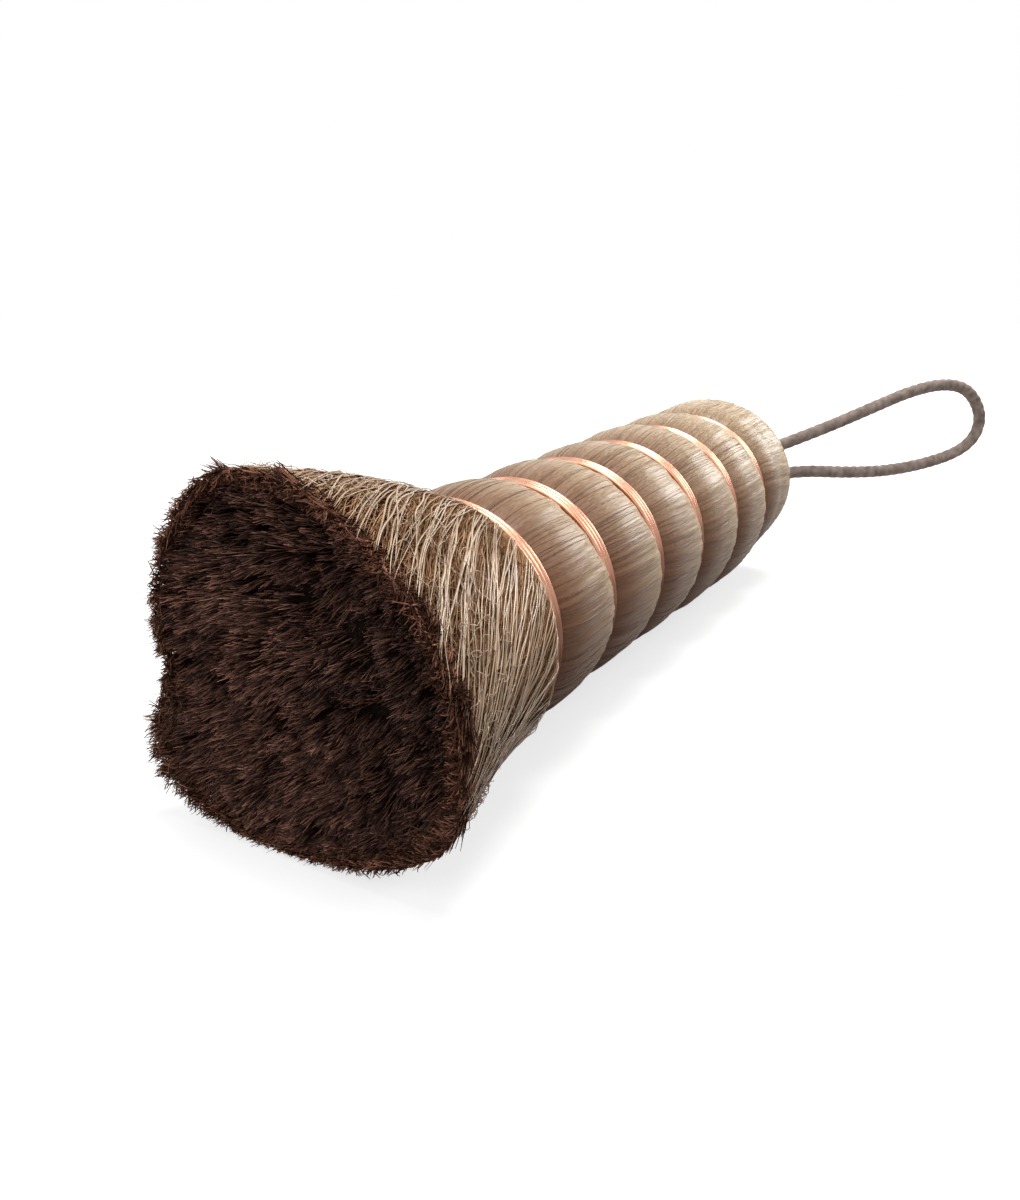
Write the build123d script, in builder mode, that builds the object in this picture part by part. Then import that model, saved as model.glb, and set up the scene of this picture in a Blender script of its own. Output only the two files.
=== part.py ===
"""A hand brush of palm fibre, lying on its side along X with its bristles towards -X.

A bundle of long fibres is doubled over at the handle end. A second mat is rolled round it, and
an outer roll of palm bark round both. Six windings of copper wire pull the roll into lobes.
Past the first winding the layers flare, and their ends are combed out into bristles.
Lengths are in millimetres and angles in degrees.
"""
from build123d import *
import math
import os

# The whole brush
overall_length = 153.0
axis_height = 20.3          # the brush's axis above the surface it lies on
head_length = 32.0          # bristle tips to the middle of the first winding
head_reach = 22.5           # middling distance from the axis to the rim of the bristle face

# The handle's lobes
lobe_radius = 19.0
waist_radius = 19.3         # the head's full shoulder, which hangs over the first winding
waist_setback = 4.5         # the flare starts this far in front of the first winding
lobe_crest_share = [0.97, 0.97, 0.995, 1.03, 1.055]
groove_floor_share = [0.885, 0.865, 0.885, 0.905, 0.935, 0.94]
winding_place_share = [0.0, 0.155, 0.312, 0.474, 0.639, 0.807]

# The end past the last winding
end_lobe_radius = 20.8
end_lobe_setback = 7.0
end_crease_setback = 12.5   # a shallow crease that carries no wire
end_crease_depth = 1.1

# The copper wire
wire_diameter = 0.8
wire_gap = 0.45
wire_turns = 2
wire_seat = 0.1             # clearance under the wire
wire_sides = 4
wire_start_angle = -110
groove_margin = 0.2         # the groove's floor is this much wider than the winding, each side

# The layers
core_radius = 11.0
wrap_thickness = 3.6
layer_clearance = 0.3
head_wall = 0.8             # the bark where it flares
crescent_thickness = 5.4    # the rolled mat's thickness at the bristle tips
core_lean = 1.5             # the core's bristles lie this far off the axis, towards the seam
seam_width = 1.0            # the slit where the rolled mat's edges meet
core_dome_length = 13.0
core_nub_radius = 7.0       # the core's fold, which shows inside the bark's mouth

# The bristles
rim_setback = 4.2           # the bark ends this far behind the bristle tips
bristle_length = 10.0
backing_thickness = 2.0
bristle_radius = 0.7
core_edge = 0.8             # from a layer's outline to its nearest bristle's middle
foot_edge = 1.8             # the outer row's feet, inside the mat's outline
tip_edge = 0.7              # the outer row's tips, inside the rim's outline
bristle_sides = 3
bristle_tip_share = 0.7
bristle_trim_share = 0.12   # how much shorter the shortest bristle is
core_bristle_count = 190
crescent_rows = 3
crescent_row_count = 42
parting_radius = 2.4        # a hollow among the core's bristles
parting_place = (-5.0, 8.0)

# The hanging loop, and the knot that holds it
cord_diameter = 2.9
leg_spacing = 5.0
cord_clearance = 0.3
knot_depth = 16.0           # the knot's middle, inside the handle end
knot_radius = 4.2
knot_waist_radius = 3.4
knot_length = 8.0
bend_share = 0.45           # how much of the shorter run each bend of the loop takes up
loop_route = [
    (76.5, 0, 22.8), (84.3, 0, 22.8), (91, -4.8, 24.8), (97.5, -13.5, 28.6), (105, -22.3, 32.6),
    (113.5, -30.2, 36.6), (123, -38.2, 40.6), (132, -45.3, 42.1), (138.9, -50.7, 40.3),
    (143.8, -54.5, 33.6), (143.5, -54.2, 27.1), (138.3, -50.2, 22.8), (128.7, -42.6, 20.4),
    (118.4, -34.6, 19.4), (108, -26.2, 19.9), (99, -15.8, 20.9), (91.3, -5.2, 18.7), (84.3, 0, 17.8),
    (76.5, 0, 17.8),
]

# The rim of the bristle face, seen from its front: angle up from the right, share of its reach
rim_start_angle = -30
rim_outline_share = [
    (rim_start_angle, 1.085), (-3, 1.0), (24, 1.0), (60, 1.02), (95, 1.17), (109, 1.23), (122, 1.18),
    (150, 1.05), (179, 0.87), (190, 1.03), (208, 1.155), (219, 1.15), (239, 1.03), (268, 0.92),
    (290, 0.89), (310, 0.97),
]
full_turn = 360
golden_angle = 137.508

tips_x = -overall_length / 2
end_x = overall_length / 2
first_winding_x = tips_x + head_length
handle_length = end_x - first_winding_x
waist_x = first_winding_x - waist_setback
sheath_rim_x = tips_x + rim_setback
backing_x = tips_x + bristle_length
root_x = backing_x + backing_thickness
winding_x = [first_winding_x + share * handle_length for share in winding_place_share]
groove_radius = [share * lobe_radius for share in groove_floor_share]
crest_radius = [share * lobe_radius for share in lobe_crest_share]

wire_radius = wire_diameter / 2
wire_pitch = wire_diameter + wire_gap
groove_half = (wire_turns * wire_pitch + wire_diameter) / 2 + groove_margin

wrap_inner_radius = core_radius + layer_clearance
wrap_outer_radius = wrap_inner_radius + wrap_thickness
sheath_inner_radius = wrap_outer_radius + layer_clearance
dome_x = end_x - core_dome_length
cord_radius = cord_diameter / 2
bore_radius = cord_radius + cord_clearance
knot_x = end_x - knot_depth
knot_start_x = knot_x - knot_length / 2
bristle_tip_radius = bristle_radius * bristle_tip_share

# The layers' reach at the bristle tips, from the outside in
sheath_inner_reach = head_reach - head_wall
wrap_outer_reach = sheath_inner_reach - layer_clearance
wrap_inner_reach = wrap_outer_reach - crescent_thickness
core_reach = wrap_inner_reach - layer_clearance
rim = (waist_radius, head_reach, 0)
wrap_outer = (wrap_outer_radius, wrap_outer_reach, 0)
wrap_inner = (wrap_inner_radius, wrap_inner_reach, core_lean)
core_outer = (core_radius, core_reach, core_lean)

lengthwise = Plane(origin=(0, 0, axis_height), x_dir=(1, 0, 0), z_dir=(0, -1, 0))
brush_axis = Axis((0, 0, axis_height), (1, 0, 0))


def across(x):
    """The plane square to the axis at x, seen from the bristles: right is -Y and up is +Z."""
    return Plane(origin=(x, 0, axis_height), x_dir=(0, -1, 0), z_dir=(-1, 0, 0))


def flare(x):
    """How far x is along the flare: 0 at the waist, 1 at the bristle tips."""
    return (waist_x - x) / (waist_x - tips_x)


def flared_point(x, radius, reach, lean, angle, share, edge=0):
    """A point of a layer that grows from a circle at the waist to the rim's outline at the tips."""
    grown = radius + (reach * share - radius) * flare(x) - edge
    turn = math.radians(angle)
    return (grown * math.cos(turn) - lean * flare(x), grown * math.sin(turn))


def flared_section(x, radius, reach, lean=0):
    """A layer's section at x: free arcs through the outline's points, which a loft pairs one to one."""
    corners = [flared_point(x, radius, reach, lean, angle, share) for angle, share in rim_outline_share]
    closed = corners + corners[:1]
    arcs = [ThreePointArc(*closed[start:start + 3]) for start in range(0, len(corners), 2)]
    return across(x) * Face(Wire(arcs))


def flared_layer(near_x, far_x, radius, reach, lean=0):
    """A solid stretch of a layer in the head, from near_x out to far_x."""
    with BuildPart() as layer:
        loft(sections=[flared_section(x, radius, reach, lean) for x in (near_x, far_x)], ruled=True)
    return layer.part


def rim_share(angle):
    """The outline's share at any angle, in line between the two points beside it."""
    turned = (angle - rim_start_angle) % full_turn + rim_start_angle
    marks = rim_outline_share + [(rim_start_angle + full_turn, rim_outline_share[0][1])]
    for (low, low_share), (high, high_share) in zip(marks, marks[1:]):
        if low <= turned <= high:
            return low_share + (high_share - low_share) * (turned - low) / (high - low)


def layer_spot(x, layer, angle, edge):
    """A place at x inside a layer's outline by edge, but never under the surface the brush lies on."""
    side, up = flared_point(x, *layer, angle, rim_share(angle), edge)
    return (side, max(up, bristle_radius - axis_height))


def between(low, high, share):
    """The point at a share of the way from one point to another."""
    return tuple(start + (stop - start) * share for start, stop in zip(low, high))


def trimmed_x(number):
    """Where a bristle's tip is: all are trimmed a little differently."""
    return tips_x + bristle_length * bristle_trim_share * (number * golden_angle % full_turn) / full_turn


def bristle(foot, tip, tip_x, turn):
    """One bristle: a tapered, many-sided prism from its foot on the backing to its tip."""
    with BuildPart() as strand:
        for x, spot, radius in ((backing_x, foot, bristle_radius), (tip_x, tip, bristle_tip_radius)):
            with BuildSketch(across(x)):
                with Locations(spot):
                    RegularPolygon(radius, bristle_sides, rotation=turn)
        loft(ruled=True)
    return strand.part


def winding_mark(x, radius, turn):
    """A point of the wire's helix, turn turns from its start, and the wire's direction there."""
    angle = math.radians(wire_start_angle + full_turn * turn)
    along_x = x + wire_pitch * (turn - wire_turns / 2)
    point = Vector(along_x, -radius * math.cos(angle), axis_height + radius * math.sin(angle))
    run = math.tau * radius
    return point, Vector(wire_pitch, run * math.sin(angle), run * math.cos(angle)).normalized()


def half_turn(start, start_way, end, end_way):
    """Two arcs that meet smoothly between two points of the helix, half a turn apart."""
    gap, ways = end - start, start_way + end_way
    spread = 2 * (1 - start_way.dot(end_way))
    reach = (math.sqrt(gap.dot(ways) ** 2 + spread * gap.dot(gap)) - gap.dot(ways)) / spread
    near, far = start + start_way * reach, end - end_way * reach
    middle = (near + far) / 2
    TangentArc(start, middle, tangent=start_way)
    TangentArc(middle, end, tangent=far - near)


def least_gap(path, per_turn):
    """The least gap between a wire and its own next turn, measured on points along the wire."""
    steps, near = wire_turns * per_turn, per_turn // 12
    points = [path.position_at(step / steps) for step in range(steps + 1)]
    gaps = [
        (points[later] - point).length
        for step, point in enumerate(points)
        for later in range(step + per_turn - near, min(step + per_turn + near, steps + 1))
    ]
    return min(gaps) - wire_diameter


def fold_line(clearance):
    """The core's domed fold and its flat end, drawn into the open line, at a clearance from the core."""
    shoulder, nub = (dome_x + clearance, core_radius + clearance), (end_x, core_nub_radius + clearance)
    TangentArc(shoulder, nub, tangent=(1, 0))
    Polyline(nub, (end_x, 0), (waist_x, 0))
    return shoulder


os.makedirs("parts", exist_ok=True)


# The outer roll of palm bark, from its rim to the closed end of the handle

end_crease_x = end_x - end_crease_setback
end_crease_radius = end_lobe_radius - end_crease_depth
head_outside = flared_layer(waist_x, sheath_rim_x, waist_radius, head_reach)
head_inside = flared_layer(waist_x, sheath_rim_x, sheath_inner_radius, sheath_inner_reach)
grooves = [
    ((x - groove_half, radius), (x + groove_half, radius)) for x, radius in zip(winding_x, groove_radius)
]

with BuildPart() as bark_sheath:
    with BuildSketch(lengthwise):
        with BuildLine():
            Polyline(grooves[0][0], grooves[0][1])
            TangentArc((waist_x, waist_radius), grooves[0][0], tangent=(1, 0))
            for here, crest in enumerate(crest_radius):
                floor_end, next_floor = grooves[here][1], grooves[here + 1][0]
                ThreePointArc(floor_end, ((floor_end[0] + next_floor[0]) / 2, crest), next_floor)
                Line(*grooves[here + 1])
            last_floor = grooves[-1][1]
            last_crest = ((last_floor[0] + end_crease_x) / 2, (end_crease_radius + end_lobe_radius) / 2)
            ThreePointArc(last_floor, last_crest, (end_crease_x, end_crease_radius))
            end_crest = (end_x - end_lobe_setback, end_lobe_radius)
            end_lip = (end_x, end_lobe_radius - end_lobe_setback)
            TangentArc(end_crest, (end_crease_x, end_crease_radius), tangent=(-1, 0))
            TangentArc(end_crest, end_lip, tangent=(1, 0))
            Polyline(end_lip, (end_x, 0), (waist_x, 0), (waist_x, waist_radius))
        make_face()
    revolve(axis=brush_axis)
    add(head_outside)
    with BuildSketch(lengthwise):
        with BuildLine():
            shoulder = fold_line(layer_clearance)
            bore_end = (shoulder[0], sheath_inner_radius)
            Polyline((waist_x, 0), (waist_x, sheath_inner_radius), bore_end, shoulder)
        make_face()
    revolve(axis=brush_axis, mode=Mode.SUBTRACT)
    add(head_inside, mode=Mode.SUBTRACT)
    split(bisect_by=Plane.XY, keep=Keep.TOP)

bark_sheath.part.label = "bark_sheath"
export_step(bark_sheath.part, "parts/bark_sheath.step")


# The bundle of fibres inside, with bores for the loop's legs and a chamber for its knot

with BuildPart() as fibre_core:
    with BuildSketch(lengthwise):
        with BuildLine():
            Polyline((waist_x, 0), (waist_x, core_radius), fold_line(0))
        make_face()
    revolve(axis=brush_axis)
    add(flared_layer(waist_x, root_x, *core_outer))
    with BuildSketch(across(end_x)):
        with GridLocations(0, leg_spacing, 1, 2):
            Circle(bore_radius)
    extrude(amount=knot_depth, mode=Mode.SUBTRACT)
    with BuildSketch(across(knot_x + knot_length / 2 + cord_clearance)):
        Circle(knot_radius + cord_clearance)
    extrude(amount=knot_length + 2 * cord_clearance, mode=Mode.SUBTRACT)

fibre_core.part.label = "fibre_core"
export_step(fibre_core.part, "parts/fibre_core.step")


# The mat rolled round the bundle, open along a seam on the far side

with BuildPart() as inner_wrap:
    with BuildSketch(lengthwise):
        with Locations(((waist_x + dome_x) / 2, wrap_inner_radius + wrap_thickness / 2)):
            Rectangle(dome_x - waist_x, wrap_thickness)
    revolve(axis=brush_axis)
    add(flared_layer(waist_x, root_x, *wrap_outer))
    add(flared_layer(waist_x, root_x, *wrap_inner), mode=Mode.SUBTRACT)
    with BuildSketch(across(dome_x)):
        with Locations((-head_reach, 0)):
            Rectangle(2 * head_reach, seam_width)
    extrude(amount=dome_x - root_x, mode=Mode.SUBTRACT)

inner_wrap.part.label = "inner_wrap"
export_step(inner_wrap.part, "parts/inner_wrap.step")


# The bundle's combed-out ends: bristles spread evenly by the golden angle, on a slice of the bundle

core_strands = []
for number in range(core_bristle_count):
    angle = number * golden_angle
    spread = math.sqrt((number + 0.5) / core_bristle_count)
    tip_x = trimmed_x(number)
    foot, tip = [
        between((-core_lean * flare(x), 0), layer_spot(x, core_outer, angle, core_edge), spread)
        for x in (backing_x, tip_x)
    ]
    if math.dist(tip, parting_place) > parting_radius:
        core_strands.append(bristle(foot, tip, tip_x, angle + full_turn / 2))

with BuildPart() as core_bristles:
    add(flared_layer(root_x, backing_x, *core_outer))
    add(core_strands)

core_bristles.part.label = "core_bristles"
export_step(core_bristles.part, "parts/core_bristles.step")


# The rolled mat's combed-out ends: rows of bristles between its two outlines, clear of the seam

wrap_strands = []
for number in range(crescent_rows * crescent_row_count):
    row, place = divmod(number, crescent_row_count)
    angle = full_turn * (place + row / 2) / crescent_row_count
    depth_share = row / (crescent_rows - 1)
    tip_x = trimmed_x(number)
    inner_foot, inner_tip = [layer_spot(x, wrap_inner, angle, -core_edge) for x in (backing_x, tip_x)]
    foot = between(inner_foot, layer_spot(backing_x, wrap_outer, angle, foot_edge), depth_share)
    tip = between(inner_tip, layer_spot(tip_x, rim, angle, tip_edge), depth_share)
    if foot[0] > 0 or abs(foot[1]) > seam_width / 2 + core_edge:
        wrap_strands.append(bristle(foot, tip, tip_x, angle + full_turn / 2))

with BuildPart() as wrap_bristles:
    add(flared_layer(root_x, backing_x, *wrap_outer))
    add(flared_layer(root_x, backing_x, *wrap_inner), mode=Mode.SUBTRACT)
    with BuildSketch(across(root_x)):
        with Locations((-head_reach, 0)):
            Rectangle(2 * head_reach, seam_width)
    extrude(amount=backing_thickness, mode=Mode.SUBTRACT)
    add(wrap_strands)

wrap_bristles.part.label = "wrap_bristles"
export_step(wrap_bristles.part, "parts/wrap_bristles.step")
print("bristles:", len(core_strands) + len(wrap_strands))


# The copper windings: each is one wire, wound round the bark in its groove

for number, (x, floor_radius) in enumerate(zip(winding_x, groove_radius), start=1):
    helix_radius = floor_radius + wire_seat + wire_radius
    marks = [winding_mark(x, helix_radius, step / 2) for step in range(2 * wire_turns + 1)]
    (first, first_way), (last, last_way) = marks[0], marks[-1]
    with BuildLine() as wire_path:
        Line(first - first_way * wire_diameter, first)
        for (start, start_way), (end, end_way) in zip(marks, marks[1:]):
            half_turn(start, start_way, end, end_way)
        Line(last, last + last_way * wire_diameter)
    outward = Vector(0, first.Y, first.Z - axis_height)
    wire_start = Plane(origin=first - first_way * wire_diameter, x_dir=outward, z_dir=first_way)
    with BuildPart() as copper_binding:
        with BuildSketch(wire_start):
            RegularPolygon(wire_radius, wire_sides, major_radius=False, rotation=full_turn / wire_sides / 2)
        sweep(path=wire_path.line)
    name = f"copper_binding_{number}"
    copper_binding.part.label = name
    export_step(copper_binding.part, f"parts/{name}.step")
    print(name, "least gap", round(least_gap(wire_path.wire(), full_turn), 3))


# The hanging loop: a twine whose two ends meet the bundle's fold square on

runs = [Vector(b) - Vector(a) for a, b in zip(loop_route, loop_route[1:])]
bends = []
for run, next_run in zip(runs, runs[1:]):
    half_bend = math.radians(run.get_angle(next_run)) / 2
    bends.append(bend_share * min(run.length, next_run.length) / math.tan(half_bend))

with BuildLine() as loop_path:
    FilletPolyline(*loop_route, radius=bends)
with BuildPart() as hanging_loop:
    with BuildSketch(Plane(origin=loop_route[0], z_dir=(1, 0, 0))):
        Circle(cord_radius)
    sweep(path=loop_path.line)

hanging_loop.part.label = "hanging_loop"
export_step(hanging_loop.part, "parts/hanging_loop.step")
loop_length = loop_path.wire().length
print("loop length", round(loop_length, 1), "radii", [round(bend, 1) for bend in bends])
plain_volume = math.pi * cord_radius**2 * loop_length
print("loop volume over section times length", round(hanging_loop.part.volume / plain_volume, 4))


# The knot inside the fold, with the two legs that run from it to the loop

with BuildPart() as loop_knot:
    with BuildSketch(lengthwise):
        with BuildLine():
            for half in range(2):
                from_x = knot_start_x + half * knot_length / 2
                to_x = from_x + knot_length / 2
                crest = ((from_x + to_x) / 2, knot_radius)
                ThreePointArc((from_x, knot_waist_radius), crest, (to_x, knot_waist_radius))
            knot_end_x = knot_start_x + knot_length
            Polyline(
                (knot_end_x, knot_waist_radius), (knot_end_x, 0), (knot_start_x, 0),
                (knot_start_x, knot_waist_radius),
            )
        make_face()
    revolve(axis=brush_axis)
    with BuildSketch(across(end_x)):
        with GridLocations(0, leg_spacing, 1, 2):
            Circle(cord_radius)
    extrude(amount=knot_depth)

loop_knot.part.label = "loop_knot"
export_step(loop_knot.part, "parts/loop_knot.step")
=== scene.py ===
"""The look of a palm fibre hand brush: combed bristles, a net of bark strands, copper wire and a twine loop.

The brush lies along X with its bristles towards -X, and Z is up. Lengths are in metres.
"""
import math

import bpy
import numpy as np
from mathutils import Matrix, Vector


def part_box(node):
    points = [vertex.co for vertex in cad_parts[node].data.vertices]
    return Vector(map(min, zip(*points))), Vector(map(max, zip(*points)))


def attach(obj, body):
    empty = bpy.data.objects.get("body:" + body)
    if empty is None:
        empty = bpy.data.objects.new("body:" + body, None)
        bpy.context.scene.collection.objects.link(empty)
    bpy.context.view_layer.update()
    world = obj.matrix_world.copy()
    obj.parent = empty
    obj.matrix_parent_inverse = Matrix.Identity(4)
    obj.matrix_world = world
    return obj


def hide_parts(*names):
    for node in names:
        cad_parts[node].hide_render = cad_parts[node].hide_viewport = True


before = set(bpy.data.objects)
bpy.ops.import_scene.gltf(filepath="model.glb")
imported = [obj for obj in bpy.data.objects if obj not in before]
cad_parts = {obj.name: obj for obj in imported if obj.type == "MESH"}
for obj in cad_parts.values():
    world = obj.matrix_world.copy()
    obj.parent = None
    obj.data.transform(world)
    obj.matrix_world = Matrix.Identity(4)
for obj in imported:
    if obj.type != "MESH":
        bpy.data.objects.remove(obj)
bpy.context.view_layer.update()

MM = 0.001

# The camera, placed as the photograph was taken
CAMERA_PLACE = Vector((-0.14316, -0.06644, 0.06293))
CAMERA_DIRECTION = Vector((0.82493, 0.46990, -0.31416))
CAMERA_LENS = 27.0
CAMERA_SENSOR = 36.0

# The brush's main places, from the frame
BINDING_NODES = [f"copper_binding_{number}" for number in range(1, 7)]
binding_boxes = [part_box(node) for node in BINDING_NODES]
sheath_low, sheath_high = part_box("bark_sheath")
TIPS_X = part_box("wrap_bristles")[0][0]
RIM_X = sheath_low[0]
END_X = sheath_high[0]
AXIS_HEIGHT = (binding_boxes[0][0][2] + binding_boxes[0][1][2]) / 2
WINDING_X = np.array([(low[0] + high[0]) / 2 for low, high in binding_boxes])
WINDING_RADIUS = np.array([(high[2] - low[2]) / 2 for low, high in binding_boxes])

# The copper wire in its grooves, with its first angle in degrees
WIRE_RADIUS = 0.48 * MM
WIRE_TURNS = 3
WIRE_SPACING = 0.95 * MM
WIRE_SIDES = 12
WIRE_STEPS_PER_TURN = 96
WIRE_START_ANGLE = -110
GROOVE_MARGIN = 0.2 * MM
groove_half = WIRE_SPACING * WIRE_TURNS / 2 + GROOVE_MARGIN
FLOOR_RADIUS = WINDING_RADIUS - 2 * WIRE_RADIUS
BARK_EDGE_X = WINDING_X[0] - groove_half

# The handle's lobes and its end, with angles in degrees
LOBE_RADIUS = 19.0 * MM
LOBE_LEAN = 1.25
LOBE_SQUARENESS = 2.3
PRESSED_SQUARENESS = 1.5
LOBE_ROUNDING = 0.76
PRESSED_ROUNDING = 0.2
LOBE_CREST_SHARE = np.array([0.97, 0.97, 0.995, 1.03, 1.055])
crest_radius = LOBE_CREST_SHARE * LOBE_RADIUS
WAIST_SETBACK = 4.5 * MM
WAIST_BAND_WIDTH = 1.8 * MM
WAIST_BAND_RISE = 0.65 * MM
WAIST_RADIUS = 19.3 * MM
waist_x = WINDING_X[0] - WAIST_SETBACK
END_LOBE_RADIUS = 20.8 * MM
END_LOBE_SETBACK = 7.0 * MM
END_CREASE_SETBACK = 12.5 * MM
END_CREASE_DEPTH = 0.35 * MM
END_CREASE_WIDTH = 2.6 * MM
END_FLAT_DEPTH = 2.3 * MM
END_FLAT_ANGLE = 322
END_FLAT_WIDTH = 35
PRESSED_ANGLE = 300
PRESSED_HALF_WIDTH = 82
PRESSED_SOFTNESS = 8
OVERHANG = 5.4 * MM
lobe_starts = WINDING_X + groove_half
lobe_stops = np.append(WINDING_X[1:] - groove_half, END_X - END_LOBE_SETBACK)

# The head, which is shaded like a lobe that starts HEAD_SPAN in front of the waist
HEAD_SPAN = 20.0 * MM
HEAD_REACH = 22.5 * MM
HEAD_BULGE = 1.1 * MM
HEAD_BULGE_ANGLE = 120
HEAD_BULGE_POWER = 0.8

# The rim's outline: angle up from the right, seen from the bristles, and share of the reach
RIM_OUTLINE_SHARE = np.array([
    (-30, 1.085), (-3, 1.0), (24, 1.0), (60, 1.02), (95, 1.17), (109, 1.23), (122, 1.18), (150, 1.05),
    (179, 0.87), (190, 1.03), (208, 1.155), (219, 1.15), (239, 1.03), (268, 0.92), (290, 0.89), (310, 0.97),
])

rng = np.random.default_rng(7)


# Places on the brush

def rim_share(angle):
    """The rim's share of its reach at an angle in radians, in line between the outline's points, softened."""
    marks, shares = RIM_OUTLINE_SHARE.T
    fine = np.arange(0, 360, 2.0)
    table = np.interp(fine, marks, shares, period=360)
    soft = (np.roll(table, -3) + np.roll(table, 3) + np.roll(table, -1) + np.roll(table, 1) + table) / 5
    return np.interp(np.degrees(angle), fine, soft, period=360)


def round_angles(count):
    """Angles in radians, evenly round a full turn."""
    return np.arange(count) / count * math.tau


def flare(x):
    """How far x is along the flare: 0 at the waist, 1 at the bristle tips."""
    return (waist_x - x) / (waist_x - TIPS_X)


def flared_radius(x, angle):
    """The head's radius at x: in a straight line from the waist's circle to the outline at the tips."""
    return WAIST_RADIUS + (HEAD_REACH * rim_share(angle) - WAIST_RADIUS) * flare(x)


def degrees_from(angle, mark):
    """How many degrees an angle in radians lies from a mark in degrees, from -180 to 180."""
    return (np.degrees(angle) - mark + 180) % 360 - 180


def pressed(angle):
    """How far the lobes are pressed together: 1 low on the near side, 0 over the top and behind."""
    beyond = np.abs(degrees_from(angle, PRESSED_ANGLE)) - PRESSED_HALF_WIDTH
    return 1 / (1 + np.exp(beyond / PRESSED_SOFTNESS))


def lobe_radius(x, angle):
    """The handle's radius at x: between two windings, the floor's straight line plus a rounded hump.

    The hump is (1 - |2t - 1|^p)^q of the crest's height, where t goes from 0 to 1 between the grooves.
    It is squarer where the lobes are pressed together, and a power of t leans it away from the head.
    """
    radius = np.interp(x, WINDING_X, FLOOR_RADIUS)
    squareness = LOBE_SQUARENESS + PRESSED_SQUARENESS * pressed(angle)
    rounding = LOBE_ROUNDING - PRESSED_ROUNDING * pressed(angle)
    for here, crest in enumerate(crest_radius):
        start, stop = lobe_starts[here], lobe_stops[here]
        t = np.clip((x - start) / (stop - start), 0, 1) ** LOBE_LEAN
        hump = (1 - np.abs(2 * t - 1) ** squareness) ** rounding
        radius = radius + (crest - (FLOOR_RADIUS[here] + FLOOR_RADIUS[here + 1]) / 2) * hump
    return radius


def overhang(x, angle):
    """How far a lobe's far edge leans over the next winding: o p t^4 (1 - t^9).

    o is OVERHANG, p is how far the lobes are pressed together, and t is the share along the lobe.
    """
    t = lobe_share(x)
    on_lobe = (x > WINDING_X[0]) & (x < WINDING_X[-1])
    return np.where(on_lobe, OVERHANG * pressed(angle) * t**4 * (1 - t**9), 0)


def front_radius(x, angle):
    """From the first groove towards the head: a rise to the waist's radius, quicker low down.

    The rise is (1 - (1 - t)^2.2)^(0.8 - 0.3 p), where p is how far the lobes are pressed together.
    """
    t = np.clip((BARK_EDGE_X - x) / (BARK_EDGE_X - waist_x), 0, 1)
    rise = (1 - (1 - t) ** 2.2) ** (0.8 - 0.3 * pressed(angle))
    return FLOOR_RADIUS[0] + (WAIST_RADIUS - FLOOR_RADIUS[0]) * rise


def end_radius(x, angle):
    """Past the last winding: a rise, a faint dip, then the end lobe, flatter on one side, and its shoulder.

    The rise is (1 - (1 - t)^3.2)^0.6, and the shoulder is a quarter of a circle.
    """
    crease_x, crest_x = END_X - END_CREASE_SETBACK, END_X - END_LOBE_SETBACK
    t = np.clip((x - lobe_starts[-1]) / (crest_x - lobe_starts[-1]), 0, 1)
    rise = FLOOR_RADIUS[-1] + (END_LOBE_RADIUS - FLOOR_RADIUS[-1]) * (1 - (1 - t) ** 3.2) ** 0.6
    rise = rise - END_CREASE_DEPTH * np.exp(-(((x - crease_x) / END_CREASE_WIDTH) ** 2))
    drop = np.clip((x - crest_x) / END_LOBE_SETBACK, 0, 1)
    flatter = END_FLAT_DEPTH * np.exp(-((degrees_from(angle, END_FLAT_ANGLE) / END_FLAT_WIDTH) ** 2))
    flatter = flatter * np.clip((x - WINDING_X[-1]) / (crest_x - WINDING_X[-1]), 0, 1) ** 0.7
    return rise - flatter - END_LOBE_SETBACK * (1 - np.sqrt(1 - drop**2))


def bark_radius(x, angle):
    """The sheath's radius at x and an angle: the lobes, and in front of the waist a flare to the rim."""
    handle = np.where(x < WINDING_X[0], front_radius(x, angle), lobe_radius(x, angle))
    handle = np.where(x > WINDING_X[-1], end_radius(x, angle), handle)
    open_share = np.clip(flare(x), 0, None)
    bulge = HEAD_BULGE * np.cos(angle - math.radians(HEAD_BULGE_ANGLE))
    bulge = bulge * np.sin(np.pi * np.clip(open_share, 0, 1) ** HEAD_BULGE_POWER)
    return handle + (HEAD_REACH * rim_share(angle) - WAIST_RADIUS) * open_share + bulge


def lobe_share(x):
    """How far x is along its lobe: 0 at its side towards the bristles, 1 at its far side."""
    marks = np.concatenate([[waist_x - HEAD_SPAN], WINDING_X, [END_X]])
    which = np.clip(np.searchsorted(marks, x, side="right") - 1, 0, len(marks) - 2)
    return np.clip((x - marks[which]) / (marks[which + 1] - marks[which]), 0, 1)


def painted_paleness(x, angle):
    """How pale the bark is, as painted shade: 0 at each lobe's root in its groove and 1 at its far edge,
    browner low on the near side.

    It is t^(1.5 f + 0.9 p): t is the share along the lobe, p is how far the lobes are pressed together,
    and f falls from 1 at the first winding to 0.1 at the handle's end, where the brown reaches less far.
    """
    fade = 1 - 0.9 * np.clip((x - WINDING_X[0]) / (END_X - WINDING_X[0]), 0, 1)
    return lobe_share(x) ** (1.5 * fade + 0.9 * pressed(angle))


def place(x, angle, radius):
    """Points from cylinder coordinates: right of the axis is -Y, seen from the bristles."""
    return np.stack(
        np.broadcast_arrays(x, -radius * np.cos(angle), AXIS_HEIGHT + radius * np.sin(angle)), axis=-1
    )


def above_floor(points, margin=0.05 * MM):
    """The points, lifted where they would lie under the surface that the brush rests on."""
    points[..., 2] = np.maximum(points[..., 2], margin)
    return points


# Meshes

STRAND_SIDES = 3


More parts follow.
